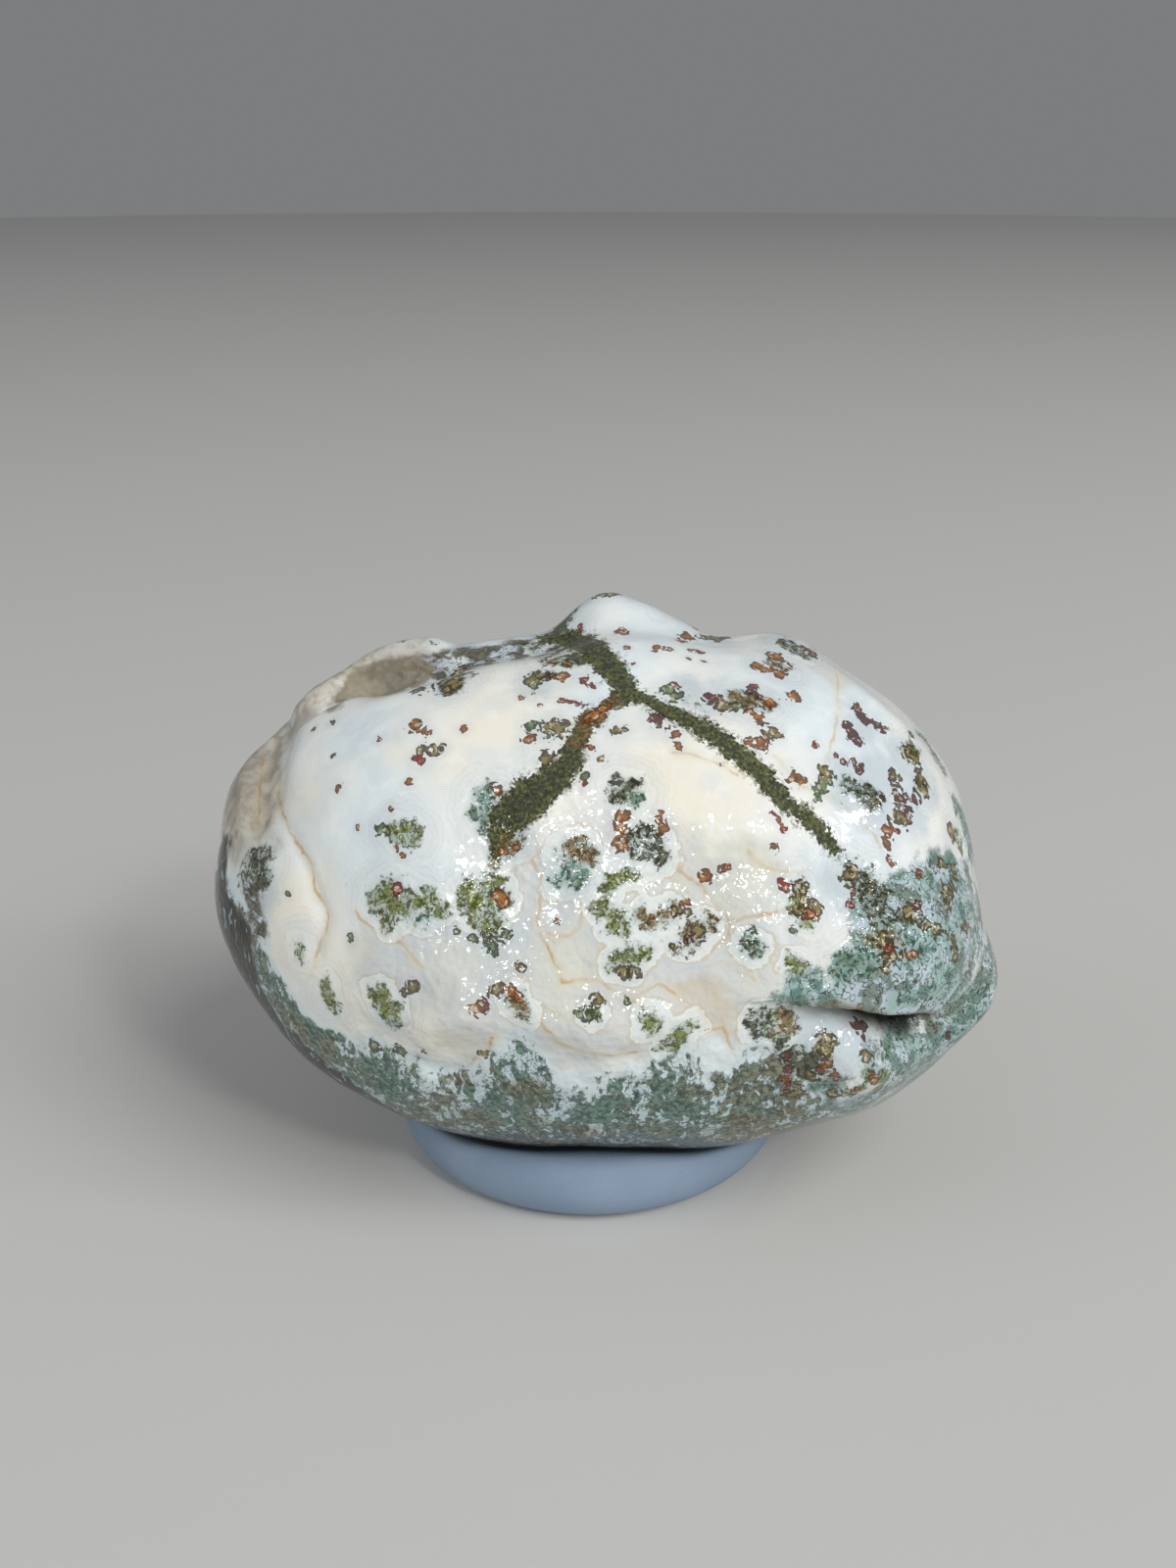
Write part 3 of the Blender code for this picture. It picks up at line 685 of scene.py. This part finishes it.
def carve_stone(mesh):
    """Raises and presses the skin, and cuts the deep fold between the nose and the jaw."""
    points, surface = places_and_surface(mesh)
    for reach, height, pixels in [(*row[2:], [row[:2]] * 2) for row in SWELLINGS] + CREASES:
        far = closest_on_path(points, route(surface, pixels))[1]
        points = points + out_of_stone(points) * (height * bell(far, reach))[:, None]
    line = route(surface, MOUTH_LINE)
    nose = place_at_pixel(surface, *NOSE_MIDDLE)
    offset, far, along = closest_on_path(points, line)
    out = out_of_stone(points)
    number = np.minimum(along.astype(int), len(line) - 2)
    above = np.cross((line[1:] - line[:-1])[number], out)
    above /= np.linalg.norm(above, axis=1)[:, None]
    above *= np.sign(np.einsum("ij,ij->i", above, nose - line[number]))[:, None]
    side = np.einsum("ij,ij->i", offset, above)
    depth, run = (np.interp(along, range(len(line)), row) for row in list(zip(*MOUTH_LINE))[2:])
    ends = np.sqrt(np.maximum(far ** 2 - side ** 2 - np.einsum("ij,ij->i", offset, out) ** 2, 0))
    depth = depth * bell(ends, MOUTH_END_FADE)
    sink = ease(-side, -MOUTH_EDGE, MOUTH_WALL) * (1 - ease(-side, MOUTH_WALL, run)) * bell(far, MOUTH_REACH)
    sunk = sink * depth
    move_vertices(mesh, points - out * sunk[:, None] + above * (sunk * MOUTH_TUCK)[:, None])
    # The fold's depth and the band along the lip are kept for the material's painted shade there.
    keep(mesh, "fold", sunk)
    keep(mesh, "lip", bell(side, LIP_SHADE_WIDTH) * ease(depth, 0.5, 2.5) * bell(far, MOUTH_END_FADE))


def weather_stone(mesh):
    """Gives the polished skin its low waves and small bumps."""
    points, surface = places_and_surface(mesh)
    inside = inside_marks(points, spots(surface, PLACES["bumpy"]))
    bumpy = BUMPY_LEAST + (1 - BUMPY_LEAST) * ease(inside, -4, 3)
    shift = soft_noise(points, WAVE_SIZE) * WAVE_HEIGHT
    shift += soft_noise(points, BUMP_SIZE, 31.0) * BUMP_HEIGHT * bumpy
    move_vertices(mesh, points + three_numbers(mesh.vertex_normals, "vector") * shift[:, None])


class Wire:
    """One output of a shader node. Sums, products and differences of it add Math nodes."""

    def __init__(self, tree, output=None):
        self.tree = tree
        self.output = output

    def node(self, kind, inputs=None, output=0, **settings):
        """Makes a node of a kind, sets it up, gives its sockets values or wires, and returns an output."""
        made = self.tree.nodes.new("ShaderNode" + kind)
        for name, setting in settings.items():
            setattr(made, name, setting)
        for name, value in (inputs or {}).items():
            if isinstance(value, Wire):
                self.tree.links.new(value.output, made.inputs[name])
            else:
                made.inputs[name].default_value = value
        return Wire(self.tree, made.outputs[output] if made.outputs else None)

    def math(self, operation, first, second=0.0):
        return self.node("Math", {0: first, 1: second}, operation=operation)

    def __add__(self, other):
        return self.math("ADD", self, other)

    def __sub__(self, other):
        return self.math("SUBTRACT", self, other)

    def __rsub__(self, other):
        return self.math("SUBTRACT", other, self)

    def __mul__(self, other):
        return self.math("MULTIPLY", self, other)

    def __truediv__(self, other):
        return self.math("DIVIDE", self, other)

    def __abs__(self):
        return self.math("ABSOLUTE", self)

    def __or__(self, other):
        return self.math("MAXIMUM", self, other)

    def __and__(self, other):
        return self.math("MINIMUM", self, other)

    __radd__ = __add__
    __rmul__ = __mul__


def paint(colour):
    """A colour as it is seen on a screen, 0 to 255, as the renderer's own numbers."""
    seen = [channel / 255 for channel in colour]
    return (*(s / 12.92 if s < 0.04045 else ((s + 0.055) / 1.055) ** 2.4 for s in seen), 1.0)


def rise(wire, low, high, start=0.0, end=1.0):
    """0 below low and 1 above high, with a soft passage between them."""
    sockets = {0: wire, 1: low, 2: high, 3: start, 4: end}
    return wire.node("MapRange", sockets, interpolation_type="SMOOTHSTEP")


def fall(wire, low, high):
    """1 below low and 0 above high."""
    return rise(wire, low, high, 1.0, 0.0)


def over(share, under, top):
    """Lays one colour over another. Each is a wire, or three numbers as for paint."""
    under, top = (colour if isinstance(colour, Wire) else paint(colour) for colour in (under, top))
    return share.node("Mix", {0: share, 6: under, 7: top}, 2, data_type="RGBA")


def vector_sum(first, second):
    return first.node("VectorMath", {0: first, 1: second}, operation="ADD")


def vector_scaled(wire, scale):
    return wire.node("VectorMath", {0: wire, "Scale": scale}, operation="SCALE")


def vector_length(wire):
    return wire.node("VectorMath", {0: wire}, 1, operation="LENGTH")


def stretched(place, across, along, upward):
    """The place squeezed differently along the three axes, so that a cloud in it flows."""
    return place.node("Mapping", {"Vector": place, "Scale": (1 / across, 1 / along, 1 / upward)})


def cloud(place, size, detail=2.0, roughness=0.5):
    """Soft random cloud, 0 to 1, with patches of about a size in mm."""
    sockets = {"Vector": place, "Scale": 1 / size, "Detail": detail, "Roughness": roughness}
    return place.node("TexNoise", sockets)


def centred(colour, reach):
    """A colour's three channels as a way of up to a reach in mm."""
    return vector_scaled(vector_sum(colour, (-0.5, -0.5, -0.5)), 2 * reach)


def jitter(place, size, reach):
    """Soft random way of about a reach in mm."""
    sockets = {"Vector": place, "Scale": 1 / size, "Detail": 1}
    return centred(place.node("TexNoise", sockets, 1), reach)


def shards(place, size, reach):
    """A random way that stays the same within each of many small cells, which gives broken edges."""
    return centred(place.node("TexVoronoi", {"Vector": place, "Scale": 1 / size}, 1), reach)


def ramp(share, places, colours, kind="LINEAR"):
    """Colours at places along 0 to 1, with even passages, or with none where the kind is CONSTANT."""
    made = share.node("ValToRGB", {0: share})
    band = made.output.node.color_ramp
    band.interpolation = kind
    while len(band.elements) < len(colours):
        band.elements.new(1)
    for element, place, colour in zip(band.elements, places, colours):
        element.position = place
        element.color = paint(colour)
    return made


def choice(tone, *colours):
    """One colour for each whole number from 0 up."""
    last = len(colours) - 1
    places = [max(0, number - 0.5) / last for number in range(len(colours))]
    return ramp(tone / last, places, colours, "CONSTANT")


def kept(skin, name, output="Fac"):
    """What was kept on the vertices under a name."""
    return skin.place.node("Attribute", output=output, attribute_name=name)


def lay(skin, share, colour):
    """Lays a colour over the skin's colour so far."""
    skin.body = over(share, skin.body, colour)


def shared_wires(start):
    """The skin: the wires that all its layers of colour use."""
    place = vector_scaled(start.node("TexCoord", output="Object"), 1 / MM)
    warped = vector_sum(place, jitter(place, 1.6, 0.5))
    hills = cloud(warped, 1.25, 2, 0.55) * 6.5
    ragged = cloud(place, 1.5, 4, 0.65)
    skin = SimpleNamespace(
        place=place,
        warped=warped,
        ragged=ragged,
        fray=ragged - 0.5,
        crumbs=cloud(place, 0.5, 2, 0.6),
        thread=cloud(warped, 0.95, 3, 0.65),
        curls=fall(hills.math("PINGPONG", hills, 0.5), 0.05, 0.16),
    )
    for name in ("moss", *SOFT_CLOUDS):
        setattr(skin, name, kept(skin, name))
    skin.hollow = rise(kept(skin, "hollow") + skin.fray * 2.5, -0.3, 0.6)
    return skin


def milk_body(skin):
    """White chalcedony: cool and warm milk, glassy grey, and the bark and tan stains."""
    skin.body = over(rise(skin.wide, -0.4, 0.4), (226, 236, 240), (238, 239, 234))
    lay(skin, rise(kept(skin, "cream") + skin.broad * 4, -4, 5) * 0.55, (238, 231, 209))
    lay(skin, rise(skin.middle + 0.4 * skin.broad, 0.05, 0.6) * 0.3, (206, 218, 228))
    lay(skin, rise(cloud(skin.warped, 1.7, 2, 0.6), 0.5, 0.7) * 0.4, (244, 247, 245))
    glass = over(rise(skin.broad, -0.3, 0.3), (203, 203, 190), (194, 200, 203))
    lay(skin, rise(kept(skin, "glass") + skin.small * 1.2, -1, 1.5) * 0.6, glass)
    layers = cloud(stretched(skin.warped, 1, 1, 5), 0.9, 2)
    bark = over(rise(layers, 0.4, 0.65), (196, 190, 176), (152, 142, 124))
    lay(skin, rise(kept(skin, "beige") + skin.middle * 1.2, -0.6, 1.4) * 0.8, bark)
    lay(skin, rise(kept(skin, "tan") + skin.fray * 3, -0.4, 0.8) * 0.55, (206, 190, 162))


def seam_lines(skin):
    """Thin tan seams and paler ones, as healed cracks have."""
    wander = jitter(skin.place, 1.1, 0.3)
    strength = rise(skin.small, -0.4, 0.3)
    kinds = (("seam", (194, 157, 98), 0.3, 0.5), ("pale_seam", (206, 186, 140), 0.2, 0.45))
    for name, colour, least, most in kinds:
        gap = vector_length(vector_sum(kept(skin, name, "Vector"), wander))
        near = fall(kept(skin, name + "_far"), 0.6, 0.9)
        lay(skin, fall(gap, 0.1, 0.9) * near * least, (222, 208, 176))
        lay(skin, fall(gap, 0.05, 0.25) * near * (least + most * strength), colour)


def growth_rims(skin):
    """White rims that the milk grew round the moss, each with a thin tan line outside."""
    growth = skin.moss + skin.fray * 1.7 + skin.small * 0.3
    patchy = rise(kept(skin, "glass") + skin.broad * 2, -2.5, 0)
    lay(skin, rise(growth, -2.4, -1.2) * 0.3, (208, 214, 218))
    lay(skin, fall(abs(growth + 0.84), 0.03, 0.11) * patchy * 0.5, (206, 184, 144))
    lay(skin, rise(growth, -0.82, -0.7) * (0.2 + 0.5 * patchy), (234, 240, 238))
    bands = fall(growth.math("PINGPONG", growth, 0.24), 0.02, 0.08)
    bands = bands * rise(growth, -3.2, -1.6) * fall(growth, -0.5, -0.3)
    lay(skin, bands * 0.2, (200, 190, 166))


def cool_haze(skin):
    """Blue-grey milk round the specks and the darker marks."""
    haze = rise(kept(skin, "haze") + skin.fray * 3.5, -1.2, 1) * 0.55
    halo = fall(kept(skin, "speck_far") + skin.fray * 2, 1, 2.4) * 0.2
    lay(skin, haze | halo, (180, 194, 203))


def base_moss(skin):
    """Dense threads of green and teal moss that cover the lower part, browner near the pad."""
    base = kept(skin, "base") + skin.middle * 1.8
    edge = base + skin.fray * 4.5
    cover = rise(edge, -0.4, 4.5) * 0.07
    lay(skin, rise(base + skin.fray * 3, -1.6, -0.2) * 0.8, (212, 226, 231))
    height = skin.place.node("SeparateXYZ", {0: skin.place}, 2)
    low = fall(height + skin.middle * 2, 8, 13) | (rise(skin.middle, 0.1, 0.6) * 0.8)
    teal = rise(skin.broad, -0.4, 0.2)
    dark = over(low, over(teal, (46, 53, 31), (22, 58, 42)), (58, 54, 36))
    light = over(low, over(teal, (126, 130, 98), (98, 138, 118)), (132, 124, 96))
    milk = over(low, (172, 202, 208), (152, 148, 124))
    lay(skin, rise(edge, 0, 3) * (0.5 + 0.4 * low), milk)
    upright = stretched(skin.warped, 1, 1.3, 2)
    lace = cloud(upright, 0.66, 3, 0.65) + (cloud(upright, 2.4, 1) - 0.5) * 0.45
    threads = rise(lace + cover, 0.49, 0.56) * rise(edge, -0.5, 0.3)
    lay(skin, threads * 0.9, over(rise(skin.crumbs, 0.4, 0.6), dark, light))
    outline = fall(abs(lace - 0.51 + cover), 0.01, 0.035) | skin.curls * 0.7
    lay(skin, outline * rise(edge, 0, 1.2) * 0.8, dark)


def teal_moss(skin):
    """Teal patches with dark curling outlines on the nose, the jaw and the right rim."""
    milk = kept(skin, "milk")
    teal = (kept(skin, "teal") + skin.middle * 1.8) & ((0.6 - milk + skin.small) * 2.5)
    cover = rise(teal + skin.fray * 3, -0.4, 1.2)
    # Blue-grey milk in the jaw, darker than the body: its own cool tint, with painted shade below the
    # overhanging lip.
    lay(skin, rise(milk + skin.small * 0.6, -1, 0.6) * 0.6, (182, 198, 208))
    lay(skin, cover * 0.85, over(rise(skin.small, -0.3, 0.3), (138, 170, 168), (178, 196, 208)))
    tint = over(rise(skin.broad, -0.3, 0.3), (80, 115, 106), (98, 114, 96))
    lay(skin, rise(skin.ragged + skin.middle * 0.06, 0.46, 0.55) * cover * 0.8, tint)
    dark = over(rise(skin.small, -0.2, 0.2), (46, 60, 48), (62, 58, 36))
    lay(skin, skin.curls * cover * 0.85, dark)


def moss_clumps(skin):
    """Lacy clumps of moss: grey-green haze, patches of a soft tone and dark curling outlines."""
    lay(skin, rise(skin.moss + skin.fray * 2.8, -0.5, 0.6) * 0.6, (158, 174, 166))
    tone = kept(skin, "moss_tone")
    soft = choice(tone, (76, 80, 58), (124, 132, 62), (104, 140, 126), (134, 112, 70))
    soft = over(rise(skin.ragged + skin.small * 0.1, 0.5, 0.62) * 0.5, soft, (98, 92, 58))
    deep = choice(tone, (34, 36, 26), (62, 72, 28), (42, 74, 62), (68, 50, 30))
    edge = skin.moss + skin.fray * 3.8 + (skin.crumbs - 0.5) * 1.4
    patches = rise(edge, 0, 0.35) * (1 - 0.8 * rise(skin.thread, 0.48, 0.57))
    lay(skin, patches * 0.9, soft)
    dots = rise(skin.crumbs, 0.54, 0.62) * rise(edge, 0, 0.5)
    lay(skin, (skin.curls | dots) * rise(edge, -0.2, 0.25) * 0.85, deep)


def left_streaks(skin):
    """Dark moss that flows down the left end between blue-white streaks."""
    streak = kept(skin, "streak") + skin.middle * 1.6 + skin.fray * 2
    flow = cloud(stretched(skin.warped, 1, 1, 3.3), 0.8, 2, 0.6)
    lay(skin, rise(streak, -0.3, 0.6), over(rise(flow, 0.58, 0.66), (30, 30, 20), (140, 162, 172)))


def top_smoke(skin):
    """Smoky streaks of dark olive, brown and blue-grey along the top."""
    flow = cloud(stretched(skin.warped, 2.6, 2.6, 0.8), 1, 3, 0.6)
    ground = over(rise(skin.small, -0.3, 0.3), (188, 202, 212), (216, 224, 228))
    dark = over(rise(skin.crumbs, 0.4, 0.6), (58, 56, 40), (104, 100, 74))
    colour = over(skin.curls * 0.7, over(fall(flow, 0.46, 0.54), ground, dark), (52, 52, 40))
    lay(skin, rise(kept(skin, "smoke") + skin.fray * 3, -0.5, 0.6) * 0.92, colour)


def green_vein(skin):
    """The dark olive vein: fine grains that fray at its edge."""
    vein = kept(skin, "vein")
    grains = cloud(skin.place, 0.3, 2, 0.65)
    edge = vein + (grains - 0.5) * 1.3 + (skin.thread - 0.5) * 2.2 + (skin.crumbs - 0.5) * 0.9
    tone = grains * 0.7 + skin.crumbs * 0.3 + rise(vein, -1.6, 0.2) * 0.07
    greens = ((32, 36, 20), (53, 58, 31), (102, 106, 60))
    colour = ramp(rise(tone, 0.36, 0.68), (0, 0.5, 1), greens)
    rusty = rise(kept(skin, "rusty") + skin.fray * 2.5, -0.4, 0.8)
    colour = over(rusty * 0.5, colour, over(rise(grains, 0.4, 0.6), (92, 66, 34), (136, 100, 52)))
    lay(skin, fall(edge, 0, 0.8) * rise(skin.crumbs, 0.5, 0.56) * 0.8, (92, 92, 56))
    lay(skin, fall(edge, -0.06, 0.06) * 0.96, colour)


def rust_specks(skin):
    """Small broken specks of rust: a thin dark rim round a translucent amber heart."""
    way = vector_sum(kept(skin, "speck", "Vector"), shards(skin.warped, 0.55, 0.36))
    way = vector_sum(way, jitter(skin.place, 0.5, 0.25))
    far = kept(skin, "speck_far")
    speck = (vector_length(way) | (far - 0.35)) * 1.26
    near = fall(far, 1.7, 2.1)
    tone = kept(skin, "speck_tone")
    rim = choice(tone, (104, 58, 24), (104, 28, 20), (68, 34, 32), (72, 64, 36), (54, 70, 48))
    heart = choice(tone, (178, 118, 58), (156, 60, 38), (110, 68, 62), (150, 138, 90), (128, 148, 110))
    # Pale cream flecks in the heart: partly the speck's own colour, partly painted glints.
    heart = over(rise(skin.crumbs, 0.52, 0.62), heart, (222, 210, 186))
    lay(skin, fall(speck, 0.9, 1) * near * 0.9, rim)
    lay(skin, fall(abs(speck - 0.9), 0.03, 0.11) * near * 0.6, (62, 40, 28))
    lay(skin, fall(speck + skin.fray * 0.9, 0.42, 0.62) * near * 0.75, heart)


def hollow_and_painted_shade(skin):
    """The sparkling hollow at the upper left, and painted shade: in the folds and on the left lobe, along
    the lip, and deep inside the mouth's fold.
    """
    sand = over(rise(skin.ragged + skin.small * 0.1, 0.4, 0.65), (112, 101, 80), (148, 137, 114))
    lay(skin, skin.hollow * 0.85, sand)
    lay(skin, rise(kept(skin, "shade") + skin.small, -0.6, 1) * 0.45, (134, 122, 106))
    # Painted shade: grey-brown along the lip that overhangs the fold.
    lay(skin, kept(skin, "lip") * 0.8, (116, 104, 80))
    # Painted shade: near-black deep inside the fold between the nose and the jaw.
    lay(skin, rise(kept(skin, "fold"), 0.8, 2.2) * 0.95, (24, 23, 16))


def agate_finish(start):
    """The stone: milk, seams, moss, the green vein and the rust specks, under a polished skin."""
    skin = shared_wires(start)
    for layer in (
        milk_body, seam_lines, growth_rims, cool_haze, base_moss, teal_moss, moss_clumps, left_streaks,
        top_smoke, green_vein, rust_specks, hollow_and_painted_shade,
    ):
        layer(skin)
    bumpy = BUMPY_LEAST + (1 - BUMPY_LEAST) * rise(kept(skin, "bumpy"), -3, 3)
    mossy = rise(skin.moss | kept(skin, "base") | kept(skin, "teal"), -0.5, 0.5)
    grain = (cloud(skin.place, 1.2, 1) * GRAIN_HEIGHT + cloud(skin.place, 0.6, 1) * FINE_HEIGHT) * bumpy
    grain = grain + skin.crumbs * (0.2 + 0.8 * mossy) * PIT_HEIGHT
    return {
        "Base Color": skin.body,
        "Roughness": AGATE_ROUGHNESS + 0.05 * skin.crumbs + 0.4 * skin.hollow,
        "Normal": grain.node("Bump", {"Strength": 1, "Distance": MM, "Height": grain}),
        "IOR": 1.54,
        "Subsurface Weight": 0.15,
        "Subsurface Radius": (1, 0.9, 0.8),
        "Subsurface Scale": 0.0012,
    }


def rubber_finish(start):
    """Soft blue-grey pad, matte, with faint dust."""
    place = vector_scaled(start.node("TexCoord", output="Object"), 1 / MM)
    broad = cloud(place, 8, 3)
    colour = over(rise(broad, 0.35, 0.65), (130, 150, 173), (140, 158, 181))
    colour = over(rise(cloud(place, 0.35, 2), 0.68, 0.76) * 0.4, colour, (178, 184, 190))
    colour = over(rise(cloud(place, 0.5, 3), 0.7, 0.78) * 0.4, colour, (100, 110, 124))
    grain = cloud(place, 0.25, 3) + 2 * cloud(place, 3, 2)
    bump = grain.node("Bump", {"Strength": 0.3, "Distance": 0.00006, "Height": grain})
    return {"Base Color": colour, "Roughness": 0.42 + 0.15 * broad, "Normal": bump, "IOR": 1.43}


def floor_finish(start):
    """Plain, pale and matte."""
    return {"Base Color": paint((206, 206, 204)), "Roughness": 0.95, "Specular IOR Level": 0.2}


def give_finish(mesh, name, finish):
    """Gives a mesh one material, whose sockets a finish fills."""
    material = bpy.data.materials.new(name)
    material.use_nodes = True
    material.node_tree.nodes.clear()
    start = Wire(material.node_tree)
    shader = start.node("BsdfPrincipled", finish(start))
    start.node("OutputMaterial", {"Surface": shader})
    mesh.materials.append(material)


def stone_piece():
    stone = fine_copy("agate_stone", "moss_agate")
    carve_stone(stone.data)
    weather_stone(stone.data)
    mark_stone(stone.data)
    give_finish(stone.data, "polished_moss_agate", agate_finish)
    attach(stone, "root")
    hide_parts("moss_agate")


def pad_piece():
    pad = fine_copy("soft_pad", "display_pad")
    give_finish(pad.data, "soft_blue_grey_rubber", rubber_finish)
    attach(pad, "root")
    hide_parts("display_pad")


def floor_piece():
    """Plain pale floor."""
    form = bmesh.new()
    bmesh.ops.create_circle(form, cap_ends=True, segments=96, radius=FLOOR_RADIUS)
    mesh = bpy.data.meshes.new("floor")
    form.to_mesh(mesh)
    form.free()
    floor = placed("floor", mesh)
    give_finish(mesh, "pale_floor", floor_finish)


def studio():
    """Soft studio light and the photograph's camera."""
    for name, place, size, power, colour, mirrored in LIGHTS:
        data = bpy.data.lights.new(name, "AREA")
        data.shape = "DISK"
        data.size = size
        data.energy = power
        data.color = colour
        light = placed(name, data)
        light.location = place
        light.visible_glossy = mirrored
        light.rotation_euler = (Vector(place) - STONE_HEART * MM).to_track_quat("Z", "Y").to_euler()
    world = bpy.data.worlds.new("studio")
    world.use_nodes = True
    ground = world.node_tree.nodes["Background"]
    ground.inputs["Color"].default_value = paint((214, 216, 218))
    ground.inputs["Strength"].default_value = 0.3
    bpy.context.scene.world = world
    data = bpy.data.cameras.new("camera")
    data.lens = CAMERA_LENS
    data.sensor_width = SENSOR_SIZE
    data.sensor_fit = "AUTO"
    data.clip_start = 0.005
    camera = placed("camera", data)
    camera.location = CAMERA_PLACE
    camera.rotation_euler = (math.radians(90) - CAMERA_DOWN, 0, 0)
    bpy.context.scene.camera = camera
    bpy.context.scene.view_settings.view_transform = "Standard"


studio()
floor_piece()
stone_piece()
pad_piece()
